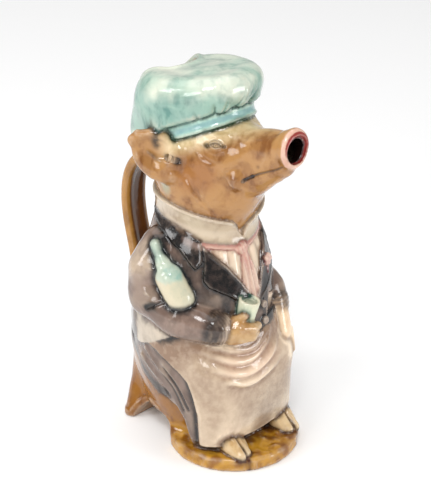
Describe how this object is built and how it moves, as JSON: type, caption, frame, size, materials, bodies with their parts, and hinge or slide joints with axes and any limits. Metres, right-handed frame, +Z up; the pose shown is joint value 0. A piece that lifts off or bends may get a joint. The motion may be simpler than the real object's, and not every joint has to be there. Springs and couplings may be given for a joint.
{
  "type": "figural majolica jug",
  "caption": "Glazed earthenware water jug shaped as a seated pig waiter in cap, coat and apron, poured from the snout, with a strap handle behind.",
  "frame": {"origin": "middle of the round ground under the feet, on the plane the jug rests on", "axes": "+Z up, -Y the way the figure faces and the snout pours, +X towards the figure's left"},
  "size_m": [0.0979, 0.1403, 0.2388],
  "materials": {
    "majolica glaze": "high gloss"
  },
  "bodies": {
    "root": {"jug": "majolica glaze"}
  },
  "joints": []
}
